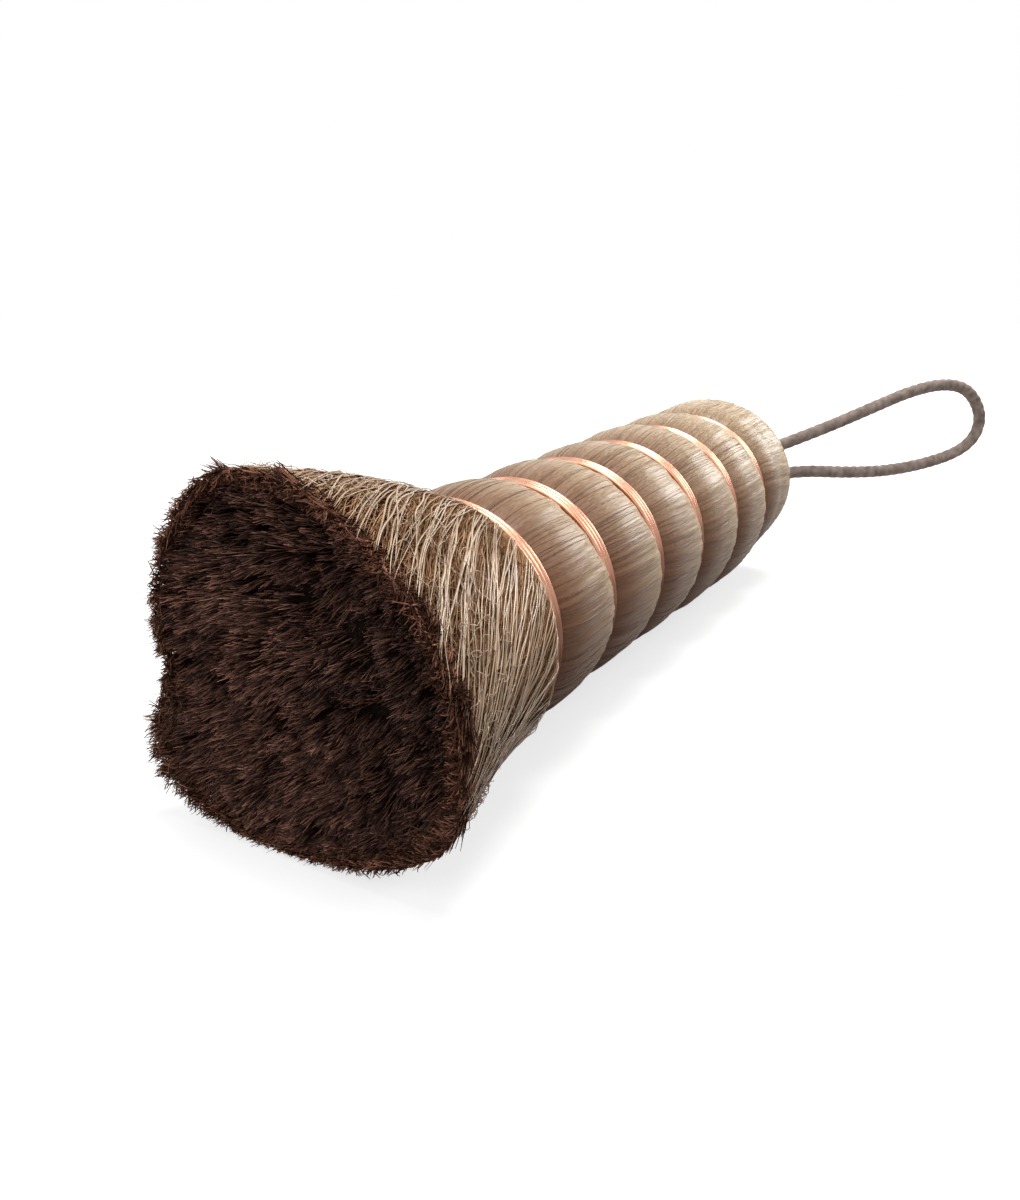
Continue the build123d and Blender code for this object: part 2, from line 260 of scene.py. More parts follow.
def mesh_piece(name, vertices, quads, caps, uv, material):
    """A piece from whole arrays: its vertices, quads, end caps, and one UV place for each vertex."""
    mesh = bpy.data.meshes.new(name)
    corners = np.concatenate([quads.ravel(), caps.ravel()]).astype(np.int32)
    starts = np.concatenate([
        np.arange(len(quads)) * 4,
        len(quads) * 4 + np.arange(len(caps)) * (caps.shape[1] if len(caps) else 0),
    ]).astype(np.int32)
    mesh.vertices.add(len(vertices))
    mesh.vertices.foreach_set("co", vertices.astype(np.float32).ravel())
    mesh.loops.add(len(corners))
    mesh.loops.foreach_set("vertex_index", corners)
    mesh.polygons.add(len(starts))
    mesh.polygons.foreach_set("loop_start", starts)
    mesh.polygons.foreach_set("use_smooth", np.full(len(starts), True))
    layer = mesh.uv_layers.new(name="UVMap")
    layer.data.foreach_set("uv", uv[corners].astype(np.float32).ravel())
    mesh.update(calc_edges=True)
    mesh.validate()
    piece = bpy.data.objects.new(name, mesh)
    bpy.context.scene.collection.objects.link(piece)
    mesh.materials.append(material)
    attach(piece, "root")
    return piece


def strand_piece(name, lines, radius, sides, material, tint, grown=None, flatness=1):
    """Strands as thin tubes: ring points at line + radius (cos a side + f sin a up), capped at both ends.

    lines is (strands, steps, 3), radius is (strands, steps) and f is flatness, below 1 for a ribbon.
    The UV map holds each strand's own tint from 0 to 1, and how far along the strand a point lies, or
    grown where that is given.
    """
    count, steps, _ = lines.shape
    along = np.gradient(lines, axis=1)
    along /= np.linalg.norm(along, axis=-1, keepdims=True) + 1e-12
    outward = lines - [0, 0, AXIS_HEIGHT]
    outward[..., 0] = 0
    outward = outward + 1e-6
    side = np.cross(along, outward)
    side /= np.linalg.norm(side, axis=-1, keepdims=True) + 1e-12
    up = np.cross(side, along)
    turn = round_angles(sides)
    ring = np.cos(turn)[:, None] * side[:, :, None, :] + flatness * np.sin(turn)[:, None] * up[:, :, None, :]
    vertices = (lines[:, :, None, :] + radius[:, :, None, None] * ring).reshape(-1, 3)

    index = np.arange(count * steps * sides).reshape(count, steps, sides)
    near, far = index[:, :-1], index[:, 1:]
    quads = np.stack([near, np.roll(near, -1, 2), np.roll(far, -1, 2), far], axis=-1).reshape(-1, 4)
    caps = np.concatenate([index[:, 0, ::-1], index[:, -1]])
    uv = np.empty((count, steps, sides, 2))
    uv[..., 0] = tint[:, None, None]
    uv[..., 1] = np.linspace(0, 1, steps)[None, :, None] if grown is None else grown[..., None]
    return mesh_piece(name, above_floor(vertices), quads, caps, uv.reshape(-1, 2), material)


def skin_piece(name, grid, uv_grid, material, close_first=False, close_last=False):
    """A surface closed around its second direction: grid is (along, around, 3). Flat caps close its ends
    where asked.
    """
    rows, columns, _ = grid.shape
    index = np.arange(rows * columns).reshape(rows, columns)
    near, far = index[:-1], index[1:]
    quads = np.stack([near, far, np.roll(far, -1, 1), np.roll(near, -1, 1)], axis=-1).reshape(-1, 4)
    caps = np.array([index[0]] * close_first + [index[-1, ::-1]] * close_last).reshape(-1, columns)
    vertices = above_floor(grid.reshape(-1, 3))
    return mesh_piece(name, vertices, quads, caps, uv_grid.reshape(-1, 2), material)


def ripple(angle, lowest, highest, count, seed):
    """A random wave round the brush: a sum of whole-numbered cosines, about -1 to 1."""
    own = np.random.default_rng(seed)
    waves = own.integers(lowest, highest + 1, count)
    phases = own.uniform(0, math.tau, count)
    strength = own.uniform(0.5, 1.0, count)
    total = sum(s * np.cos(w * angle + p) for w, p, s in zip(waves, phases, strength))
    return total / math.sqrt(count)


# Materials

def add_node(tree, kind, inputs=None, **settings):
    """A node with its settings, and its inputs linked to sockets or set to plain values."""
    node = tree.nodes.new(kind)
    for name, value in settings.items():
        setattr(node, name, value)
    for name, value in (inputs or {}).items():
        if isinstance(value, bpy.types.NodeSocket):
            tree.links.new(value, node.inputs[name])
        else:
            node.inputs[name].default_value = value
    return node


def mix_color(tree, factor, first, second, blend="MIX"):
    """Two colours mixed by a factor: each of the three is a socket or a plain value."""
    inputs = {"Factor": factor, "A": first, "B": second}
    return add_node(tree, "ShaderNodeMix", inputs, data_type="RGBA", blend_type=blend).outputs["Result"]


def new_group(name, inputs, output, output_kind):
    """A shader node group with its named inputs and its one output, and its two end nodes."""
    group = bpy.data.node_groups.new(name, "ShaderNodeTree")
    for input_name, kind in inputs.items():
        group.interface.new_socket(input_name, in_out="INPUT", socket_type=kind)
    group.interface.new_socket(output, in_out="OUTPUT", socket_type=output_kind)
    return group, add_node(group, "NodeGroupInput"), add_node(group, "NodeGroupOutput")


def painted_underside_shade_group():
    """A mask for painted shade on the underside: from 0 near the floor to 1 over the brush's upper half."""
    heights = {"Low": "NodeSocketFloat", "High": "NodeSocketFloat"}
    group, entry, leave = new_group("underside", heights, "Mask", "NodeSocketFloat")
    where = add_node(group, "ShaderNodeTexCoord")
    split = add_node(group, "ShaderNodeSeparateXYZ", {"Vector": where.outputs["Object"]})
    height = add_node(group, "ShaderNodeMapRange", {
        "Value": split.outputs["Z"], "From Min": entry.outputs["Low"], "From Max": entry.outputs["High"],
    }, interpolation_type="SMOOTHSTEP")
    group.links.new(height.outputs["Result"], leave.inputs["Mask"])
    return group


# Painted shade darkens surfaces towards the floor, by this mask between the heights below
UNDERSIDE = painted_underside_shade_group()
UNDERSIDE_LOW = 4 * MM
UNDERSIDE_HIGH = 26 * MM


def painted_underside_shade(tree, color, share, low=UNDERSIDE_LOW, high=UNDERSIDE_HIGH):
    """Painted shade: a colour multiplied by share at the height low and kept as it is from the height high.
    """
    mask = add_node(tree, "ShaderNodeGroup", {"Low": low, "High": high}, node_tree=UNDERSIDE)
    shade = mix_color(tree, mask.outputs["Mask"], (*share, 1), (1, 1, 1, 1))
    return mix_color(tree, 1.0, color, shade, blend="MULTIPLY")


def new_material(name, color, roughness):
    """A material with its Principled shader, and its node tree."""
    material = bpy.data.materials.new(name)
    material.use_nodes = True
    shader = material.node_tree.nodes["Principled BSDF"]
    shader.inputs["Base Color"].default_value = (*color, 1)
    shader.inputs["Roughness"].default_value = roughness
    return material, material.node_tree, shader


def ramp(tree, source, stops):
    """A colour ramp fed by source: stops are (place, colour)."""
    node = add_node(tree, "ShaderNodeValToRGB", {"Fac": source})
    elements = node.color_ramp.elements
    elements[0].position, elements[0].color = stops[0][0], (*stops[0][1], 1)
    elements[1].position, elements[1].color = stops[-1][0], (*stops[-1][1], 1)
    for position, color in stops[1:-1]:
        element = elements.new(position)
        element.color = (*color, 1)
    return node.outputs["Color"]


def fibre_tint_group():
    """A fibre's colour: its own tint from dark to light, mottled, and deeper at its root, which for the
    bristles, the fringe and the handle's fibres is painted shade in their depths and grooves.
    """
    group, entry, leave = new_group("fibre_tint", {
        "Dark": "NodeSocketColor", "Light": "NodeSocketColor", "Root": "NodeSocketColor",
        "Root Reach": "NodeSocketFloat", "Mottle Scale": "NodeSocketFloat", "Mottle": "NodeSocketFloat",
    }, "Color", "NodeSocketColor")
    given = entry.outputs
    uv = add_node(group, "ShaderNodeUVMap", uv_map="UVMap")
    split = add_node(group, "ShaderNodeSeparateXYZ", {"Vector": uv.outputs["UV"]})
    body = mix_color(group, split.outputs["X"], given["Dark"], given["Light"])
    where = add_node(group, "ShaderNodeTexCoord")
    noise = add_node(group, "ShaderNodeTexNoise", {
        "Vector": where.outputs["Object"], "Scale": given["Mottle Scale"],
    })
    darkest = add_node(group, "ShaderNodeMath", {0: 1.0, 1: given["Mottle"]}, operation="SUBTRACT")
    mottle = add_node(group, "ShaderNodeMapRange", {
        "Value": noise.outputs["Fac"], "From Min": 0.3, "From Max": 0.7, "To Min": 1.0,
        "To Max": darkest.outputs["Value"],
    })
    shade = mix_color(group, 1.0, body, mottle.outputs["Result"], blend="MULTIPLY")
    root = add_node(group, "ShaderNodeMapRange", {
        "Value": split.outputs["Y"], "From Max": given["Root Reach"],
    })
    color = mix_color(group, root.outputs["Result"], given["Root"], shade)
    group.links.new(color, leave.inputs["Color"])
    return group


FIBRE_TINT = fibre_tint_group()


def fibre_material(
    name, dark, light, root, root_reach, mottle_scale, mottle, roughness, specular, under=None
):
    """A material for strands: the fibre's own tint with a plain gloss, and painted shade on the underside by
    under.
    """
    material, tree, shader = new_material(name, light, roughness)
    tint = add_node(tree, "ShaderNodeGroup", {
        "Dark": (*dark, 1), "Light": (*light, 1), "Root": (*root, 1), "Root Reach": root_reach,
        "Mottle Scale": mottle_scale, "Mottle": mottle,
    }, node_tree=FIBRE_TINT)
    color = tint.outputs["Color"]
    if under:
        color = painted_underside_shade(tree, color, under)
    tree.links.new(color, shader.inputs["Base Color"])
    shader.inputs["Specular IOR Level"].default_value = specular
    return material


# Painted shade: the shares that darken the net and the handle low down, and the dark brown painted at each
# lobe's root in its winding's groove and in the fold's middle
NET_UNDERSIDE_SHADE = (0.42, 0.32, 0.26)
HANDLE_UNDERSIDE_SHADE = (0.5, 0.40, 0.34)
HANDLE_ROOT_SHADE = (0.19, 0.085, 0.042)

# The bristles' near-black root colour is painted shade deep among the fibres, and the fringe's darker root is
# painted shade where it runs into the bristles and under the net's edge
bristle_material = fibre_material(
    "bristle_fibre", dark=(0.03, 0.013, 0.011), light=(1.0, 0.49, 0.35), root=(0.010, 0.006, 0.005),
    root_reach=0.95, mottle_scale=420, mottle=0.7, roughness=0.42, specular=0.1,
)
fringe_material = fibre_material(
    "rim_fringe", dark=(0.045, 0.018, 0.012), light=(0.66, 0.31, 0.20), root=(0.12, 0.05, 0.028),
    root_reach=0.3, mottle_scale=500, mottle=0.5, roughness=0.5, specular=0.0,
)
net_material = fibre_material(
    "bark_strand", dark=(0.46, 0.28, 0.15), light=(0.85, 0.64, 0.45), root=(0.22, 0.11, 0.055),
    root_reach=0.06, mottle_scale=260, mottle=0.3, roughness=0.2, specular=0.9, under=NET_UNDERSIDE_SHADE,
)
# The middle and low layers are darker copies of the top strands' bark: painted shade in the gaps between the
# strands
middle_net_material = fibre_material(
    "middle_bark_strand", dark=(0.30, 0.15, 0.07), light=(0.76, 0.50, 0.30), root=(0.18, 0.085, 0.045),
    root_reach=0.08, mottle_scale=260, mottle=0.3, roughness=0.5, specular=0.1, under=NET_UNDERSIDE_SHADE,
)
low_net_material = fibre_material(
    "low_bark_strand", dark=(0.22, 0.105, 0.05), light=(0.64, 0.36, 0.19), root=(0.14, 0.065, 0.033),
    root_reach=0.08, mottle_scale=260, mottle=0.3, roughness=0.5, specular=0.0, under=NET_UNDERSIDE_SHADE,
)
lobe_strand_material = fibre_material(
    "handle_fibre", dark=(0.38, 0.24, 0.14), light=(0.82, 0.68, 0.47), root=HANDLE_ROOT_SHADE,
    root_reach=0.95, mottle_scale=200, mottle=0.2, roughness=0.3, specular=0.3, under=HANDLE_UNDERSIDE_SHADE,
)


def skin_material(
    name, stops, stretch, fineness, bump_strength, bump_distance, roughness, specular, root=None, under=None
):
    """A surface of lengthwise fibres: noise stretched along X, for its colour and its relief.

    A root colour paints shade at the low end of each lobe, in its winding's groove, which the UV map's second
    place counts from 0 to 1.
    """
    material, tree, shader = new_material(name, stops[-1][1], roughness)
    shader.inputs["Specular IOR Level"].default_value = specular
    where = add_node(tree, "ShaderNodeTexCoord")
    long = add_node(tree, "ShaderNodeMapping", {
        "Vector": where.outputs["Object"], "Scale": (1 / stretch, 1, 1),
    })
    streak = add_node(tree, "ShaderNodeTexNoise", {
        "Vector": long.outputs["Vector"], "Scale": fineness, "Detail": 4,
    })
    color = ramp(tree, streak.outputs["Fac"], stops)
    if root:
        uv = add_node(tree, "ShaderNodeUVMap", uv_map="UVMap")
        split = add_node(tree, "ShaderNodeSeparateXYZ", {"Vector": uv.outputs["UV"]})
        reach = add_node(tree, "ShaderNodeMapRange", {"Value": split.outputs["Y"], "From Max": 0.95})
        color = mix_color(tree, reach.outputs["Result"], (*root, 1), color)
    if under:
        color = painted_underside_shade(tree, color, under)
    tree.links.new(color, shader.inputs["Base Color"])
    bump = add_node(tree, "ShaderNodeBump", {
        "Strength": bump_strength, "Distance": bump_distance, "Height": streak.outputs["Fac"],
    })
    tree.links.new(bump.outputs["Normal"], shader.inputs["Normal"])
    return material


lobe_material = skin_material(
    "handle_bark", [(0.32, (0.38, 0.235, 0.135)), (0.5, (0.64, 0.48, 0.30)), (0.7, (0.84, 0.72, 0.51))],
    stretch=16, fineness=3500, bump_strength=0.35, bump_distance=0.08 * MM, roughness=0.34, specular=0.2,
    root=HANDLE_ROOT_SHADE, under=HANDLE_UNDERSIDE_SHADE,
)
# The bark under the net is darker, with a near-black root colour towards the rim: painted shade under the
# strands
under_material = skin_material(
    "bark_under", [(0.3, (0.26, 0.13, 0.065)), (0.7, (0.52, 0.32, 0.18))], stretch=8, fineness=1500,
    bump_strength=0.8, bump_distance=0.3 * MM, roughness=0.6, specular=0.0, root=(0.06, 0.025, 0.012),
)
# Painted shade: the bristles' depths, near black
depth_shade_material = skin_material(
    "bristle_depth_shade", [(0.3, (0.009, 0.007, 0.006)), (0.7, (0.025, 0.016, 0.012))], stretch=2, fineness=1500,
    bump_strength=0.4, bump_distance=0.3 * MM, roughness=0.9, specular=0.0,
)


def copper_material():
    """Bright drawn copper: fine lines along the wire in its gloss, and painted shade that darkens it low
    down.
    """
    material, tree, shader = new_material("copper_wire", (0.76, 0.37, 0.22), 0.24)
    shader.inputs["Metallic"].default_value = 1.0
    uv = add_node(tree, "ShaderNodeUVMap", uv_map="UVMap")
    long = add_node(tree, "ShaderNodeMapping", {"Vector": uv.outputs["UV"], "Scale": (10, 20, 1)})
    lines = add_node(tree, "ShaderNodeTexNoise", {"Vector": long.outputs["Vector"], "Scale": 3, "Detail": 3})
    gloss = add_node(tree, "ShaderNodeMapRange", {
        "Value": lines.outputs["Fac"], "To Min": 0.16, "To Max": 0.36,
    })
    tree.links.new(gloss.outputs["Result"], shader.inputs["Roughness"])
    color = ramp(tree, lines.outputs["Fac"], [(0.35, (0.60, 0.27, 0.16)), (0.65, (0.80, 0.44, 0.31))])
    # Painted shade and reflection: the wire darkens low down, where it reflects the brown lobes and the floor
    color = painted_underside_shade(tree, color, (0.25, 0.19, 0.17), low=14 * MM, high=36 * MM)
    tree.links.new(color, shader.inputs["Base Color"])
    return material


def twine_material():
    """Matt grey-brown twine, mottled in soft patches."""
    material, tree, shader = new_material("twine", (0.26, 0.20, 0.175), 0.85)
    where = add_node(tree, "ShaderNodeTexCoord")
    patches = add_node(tree, "ShaderNodeTexNoise", {
        "Vector": where.outputs["Object"], "Scale": 500, "Detail": 5,
    })
    color = ramp(tree, patches.outputs["Fac"], [(0.35, (0.175, 0.13, 0.107)), (0.65, (0.335, 0.26, 0.22))])
    tree.links.new(color, shader.inputs["Base Color"])
    return material


copper = copper_material()
twine = twine_material()


# The copper windings: close turns of round wire

def copper_winding(number):
    """A helix of round wire: angle grows evenly, and x moves one wire's spacing each turn."""
    steps = WIRE_TURNS * WIRE_STEPS_PER_TURN + 1
    turn = np.linspace(0, WIRE_TURNS, steps)
    angle = math.radians(WIRE_START_ANGLE) + math.tau * turn
    x = WINDING_X[number] + WIRE_SPACING * (turn - WIRE_TURNS / 2)
    radius = np.full(steps, FLOOR_RADIUS[number] + WIRE_RADIUS)
    line = place(x, angle, radius)[None]
    piece = strand_piece(
        f"copper_wire_{number + 1}", line, np.full((1, steps), WIRE_RADIUS), WIRE_SIDES, copper,
        np.array([0.5]),
    )
    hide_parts(BINDING_NODES[number])


for number in range(len(BINDING_NODES)):
    copper_winding(number)


# The hanging loop: twine on the same route as the solid

LOOP_ROUTE = np.array([
    (76.5, 0, 22.8), (84.3, 0, 22.8), (91, -4.8, 24.8), (97.5, -13.5, 28.6), (105, -22.3, 32.6),
    (113.5, -30.2, 36.6), (123, -38.2, 40.6), (132, -45.3, 42.1), (138.9, -50.7, 40.3),
    (143.8, -54.5, 33.6), (143.5, -54.2, 27.1), (138.3, -50.2, 22.8), (128.7, -42.6, 20.4),
    (118.4, -34.6, 19.4), (108, -26.2, 19.9), (99, -15.8, 20.9), (91.3, -5.2, 18.7), (84.3, 0, 17.8),
    (76.5, 0, 17.8),
]) * MM
CORD_DIAMETER = 2.9 * MM
LOOP_NORMAL = np.array([0.61, 0.79, 0.0])
LOOP_STEPS = 900
LOOP_SIDES = 30
LOOP_PLIES = 3
PLY_TWIST_LENGTH = 7.5 * MM
PLY_ROOT_SHARE = 0.97
PLY_RISE_SHARE = 0.11


def loop_line():
    """Points along the loop's own smooth curve, read from a spline with no thickness."""
    curve = bpy.data.curves.new("loop_line", "CURVE")
    curve.dimensions = "3D"
    curve.resolution_u = 24
    spline = curve.splines.new("NURBS")
    spline.points.add(len(LOOP_ROUTE) - 1)
    spline.points.foreach_set("co", np.column_stack([LOOP_ROUTE, np.ones(len(LOOP_ROUTE))]).ravel())
    spline.order_u = 3
    spline.use_endpoint_u = True
    holder = bpy.data.objects.new("loop_line", curve)
    mesh = bpy.data.meshes.new_from_object(holder)
    points = np.empty(len(mesh.vertices) * 3)
    mesh.vertices.foreach_get("co", points)
    bpy.data.objects.remove(holder)
    bpy.data.curves.remove(curve)
    bpy.data.meshes.remove(mesh)
    return points.reshape(-1, 3)


def hanging_loop():
    """A twisted twine: its section has a rounded rib for each ply, and turns as it goes along."""
    line = loop_line()
    run = np.concatenate([[0], np.cumsum(np.linalg.norm(np.diff(line, axis=0), axis=1))])
    even = np.linspace(0, run[-1], LOOP_STEPS)
    path = np.stack([np.interp(even, run, line[:, axis]) for axis in range(3)], axis=-1)
    along = np.gradient(path, axis=0)
    along /= np.linalg.norm(along, axis=1, keepdims=True)
    side = np.cross(along, LOOP_NORMAL)
    side /= np.linalg.norm(side, axis=1, keepdims=True)
    up = np.cross(side, along)
    turn = round_angles(LOOP_SIDES)
    twist = even / PLY_TWIST_LENGTH * math.tau
    rib = np.abs(np.cos(LOOP_PLIES / 2 * (turn[None] - twist[:, None])))
    radius = CORD_DIAMETER / 2 * (PLY_ROOT_SHARE + PLY_RISE_SHARE * rib)
    ring = np.cos(turn)[None, :, None] * side[:, None] + np.sin(turn)[None, :, None] * up[:, None]
    grid = path[:, None] + radius[..., None] * ring
    uv = np.stack(np.broadcast_arrays(turn[None] / math.tau, even[:, None] / even[-1]), axis=-1)
    piece = skin_piece("twine_loop", grid, uv, twine, close_first=True, close_last=True)
    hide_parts("hanging_loop")


hanging_loop()


# The sheath's base surfaces

PLEAT_DEPTH = 0.08 * MM
FINE_PLEAT_DEPTH = 0.03 * MM
LUMP_DEPTH = 0.25 * MM
LOBE_STEPS = 35
SHOULDER_STEPS = 20


def lengthwise_skin(name, xs, around, lift, roughen, material, replaced=()):
    """The sheath's surface from one x to another, lifted by lift and by what roughen gives."""
    x, turn = np.meshgrid(xs, round_angles(around), indexing="ij")
    radius = bark_radius(x, turn) + lift + roughen(x, turn)
    uv = np.stack([turn / math.tau, painted_paleness(x, turn)], axis=-1)
    grid = place(x + overhang(x, turn), turn, radius)
    piece = skin_piece(name, grid, uv, material)
    if replaced:
        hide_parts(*replaced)


def pleats(x, turn):
    """Lengthwise pleats on the handle: random waves round it that slide a little along it."""
    slide = 0.10 * np.sin(x * 90)
    broad = ripple(turn + slide, lowest=14, highest=40, count=9, seed=3)
    fine = ripple(turn + 0.4 * slide, lowest=50, highest=100, count=9, seed=4)
    return PLEAT_DEPTH * broad + FINE_PLEAT_DEPTH * fine


def rounded_steps(start, stop, count):
    """Places from start to stop that crowd together at both ends: half a cosine wave."""
    return start + (stop - start) * (1 - np.cos(np.linspace(0, math.pi, count))) / 2


handle_xs = np.concatenate([
    [BARK_EDGE_X],
    *(rounded_steps(start, stop, LOBE_STEPS) for start, stop in zip(lobe_starts, lobe_stops)),
    END_X - END_LOBE_SETBACK * (1 - np.sin(np.linspace(0, math.pi / 2, SHOULDER_STEPS)[1:])),
])
lengthwise_skin(
    "bark_handle", handle_xs, around=420, lift=-0.1 * MM, roughen=pleats, material=lobe_material,
    replaced=["bark_sheath"],
)


def under_lumps(x, turn):
    """Slight lumps under the net of strands, and a smooth band that rises over its ends at the waist."""
    band = np.clip((x - waist_x) / WAIST_BAND_WIDTH, 0, 1)
    band = band * band * (3 - 2 * band)
    lumps = LUMP_DEPTH * ripple(turn + 0.3 * np.sin(x * 300), lowest=8, highest=30, count=8, seed=5)
    smooth = WAIST_BAND_RISE + FINE_PLEAT_DEPTH * ripple(turn, lowest=40, highest=110, count=9, seed=6)
    return lumps * (1 - band) + smooth * band


head_xs = np.linspace(RIM_X, BARK_EDGE_X, 70)
lengthwise_skin(
    "bark_under_net", head_xs, around=360, lift=-0.55 * MM, roughen=under_lumps, material=under_material,
)


# The net of strands over the head

# Angle round the brush, and the net's heading from the axis there, both in degrees
NET_HEADING = np.array([
    (-60, 5), (-20, 10), (-8, 40), (5, 64), (20, 58), (38, 46),
    (60, 34), (90, 22), (130, 10), (180, 10), (240, 5),
])
WAIST_STRAIGHTENING = 0.35

# Strands end at their own places in front of the rim, and their middles stop short of the bark's edge
RAGGED_NEAR = 1.8 * MM
RAGGED_FAR = 4.5 * MM
EDGE_SETBACK = 0.6 * MM
HAIR_REACH = 12 * MM
TAPER = 0.65
GOLDEN_STEP = 0.6180339887


def net_heading(x, angle):
    """The way the bark's strands run, in radians from the axis: slanted on the near side."""
    marks, headings = NET_HEADING.T
    slant = np.interp(np.degrees(angle), marks, headings, period=360)
    return np.radians(slant * (1 - WAIST_STRAIGHTENING * (1 - np.clip(flare(x), 0, 1))))


def kept_stretch(x, angle, low):
    """Each strand's stretch between its own low x and the first winding's groove, divided evenly again."""
    steps = x.shape[1]
    kept = (x >= low) & (x <= BARK_EDGE_X)
    first = kept.argmax(axis=1)[:, None]
    last = steps - 1 - kept[:, ::-1].argmax(axis=1)[:, None]
    at = first + (last - first) * np.linspace(0, 1, steps)[None]
    before = np.clip(np.floor(at).astype(int), 0, steps - 2)
    part = at - before
    both = []
    for values in (x, angle):
        near = np.take_along_axis(values, before, axis=1)
        both.append(near + (np.take_along_axis(values, before + 1, axis=1) - near) * part)
    return both


def surface_strands(count, middle_x, middle_angle, length, turned, curl, wave, waves, steps, lift):
    """Strands laid on the sheath: from the middle both ways, each step goes on along the net's heading.

    A step s moves x by s cos h and the angle round the brush by s sin h / radius, where h is the net's
    heading there, turned by the strand's own angle and curl. Then come a small wave to the side and the
    strand's own end in front of the rim.
    """
    half = steps // 2
    step = (length / (steps - 1))[:, None]
    x = np.empty((count, steps))
    angle = np.empty((count, steps))
    x[:, half], angle[:, half] = middle_x, middle_angle
    for way in (1, -1):
        for number in range(half):
            here, there = half + way * number, half + way * (number + 1)
            heading = net_heading(x[:, here], angle[:, here]) + turned + curl * way * (number / half)
            radius = bark_radius(x[:, here], angle[:, here])
            x[:, there] = x[:, here] + way * step[:, 0] * np.cos(heading)
            angle[:, there] = angle[:, here] + way * step[:, 0] * np.sin(heading) / radius
    u = np.linspace(0, 1, steps)[None]
    phase = rng.uniform(0, math.tau, (count, 1))
    aside = wave[:, None] * np.sin(waves[:, None] * math.tau * u + phase)
    heading = net_heading(x, angle) + turned[:, None]
    x = x - aside * np.sin(heading)
    angle = angle + aside * np.cos(heading) / WAIST_RADIUS
    own_end = rng.uniform(RIM_X - RAGGED_FAR, RIM_X - RAGGED_NEAR, count)[:, None]
    x, angle = kept_stretch(x, angle, own_end)
    rise = lift[:, None] * (1 + 0.5 * np.sin(3 * math.tau * u + phase * 2))
    return place(x, angle, bark_radius(x, angle) + rise)


def spread_x(front, share):
    """Places from front, counted forwards from the rim, to just short of the bark's edge."""
    first = RIM_X - front
    return first + (BARK_EDGE_X - EDGE_SETBACK - first) * share


def tapered_strands(
    name, lines, thickness, tints, material, grown=None, sides=STRAND_SIDES, flatness=1
):
    """Strands that thin towards both ends: radii in millimetres and tints are drawn from their ranges."""
    count, steps, _ = lines.shape
    u = np.linspace(-1, 1, steps)[None]
    radius = rng.uniform(*thickness, count)[:, None] * MM * (1 - TAPER * np.abs(u) ** 4)
    strand_piece(name, lines, radius, sides, material, rng.uniform(*tints, count), grown, flatness)


def even_shares(count):
    """Pairs of shares that cover the unit square evenly: the golden ratio's steps beside a plain count."""
    number = np.arange(count)
    return (number + 0.5) / count, number * GOLDEN_STEP % 1


def net_layer(name, count, steps, thickness, length, height, material, sides=STRAND_SIDES, flatness=1):
    """One layer of the net's long strands: thickness, length and height are ranges in millimetres."""
    along, around = even_shares(count)
    lines = surface_strands(
        count,
        middle_x=spread_x(RAGGED_NEAR, along),
        middle_angle=math.tau * around,
        length=rng.uniform(*length, count) * MM,
        turned=rng.normal(0, 0.07, count),
        curl=rng.normal(0, 0.1, count),
        wave=rng.uniform(0.04, 0.18, count) * MM,
        waves=rng.uniform(1, 4, count),
        steps=steps,
        lift=rng.uniform(*height, count) * MM,
    )
    tapered_strands(name, lines, thickness, (0, 1), material, sides=sides, flatness=flatness)


def cross_strands(count, steps):
    """Short strands that cross the net's lower layers at wide angles."""
    lines = surface_strands(
        count,
        middle_x=spread_x(EDGE_SETBACK, rng.uniform(0, 1, count)),
        middle_angle=rng.uniform(0, math.tau, count),
        length=rng.uniform(1.2, 3.5, count) * MM,
        turned=rng.uniform(0.6, 2.5, count),
        curl=rng.normal(0, 0.8, count),
        wave=rng.uniform(0.05, 0.15, count) * MM,
        waves=rng.uniform(1, 2, count),
        steps=steps,
        lift=rng.uniform(-0.3, 0.0, count) * MM,
    )
    tapered_strands("bark_cross_strands", lines, (0.04, 0.07), (0.4, 1), low_net_material)


def stray_hairs(count, steps):
    """Curled hairs that stand a little off the net, most of them near the rim."""
    lines = surface_strands(
        count,
        middle_x=RIM_X - EDGE_SETBACK + HAIR_REACH * rng.uniform(0, 1, count) ** 1.5,
        middle_angle=rng.uniform(0, math.tau, count),
        length=rng.uniform(4, 9, count) * MM,
        turned=rng.uniform(-1.2, 1.2, count),
        curl=rng.normal(0, 1.6, count),
        wave=rng.uniform(0.1, 0.4, count) * MM,
        waves=rng.uniform(1, 2, count),
        steps=steps,
        lift=rng.uniform(0.15, 0.6, count) * MM,
    )
    tapered_strands("bark_stray_hairs", lines, (0.04, 0.07), (0.2, 0.9), net_material)


net_layer(
    "bark_net_low", count=1900, steps=15, thickness=(0.04, 0.09), length=(9, 22), height=(-0.45, -0.22),
    material=low_net_material,
)
net_layer(
    "bark_net_middle", count=1000, steps=19, thickness=(0.035, 0.08), length=(9, 22), height=(-0.25, -0.05),
    material=middle_net_material,
)
net_layer(
    "bark_net_top", count=360, steps=41, thickness=(0.07, 0.16), length=(20, 46), height=(0.0, 0.26),
    material=net_material, sides=4, flatness=0.55,
)
cross_strands(count=2600, steps=9)
stray_hairs(count=260, steps=15)


# Fine fibres along the handle's lobes

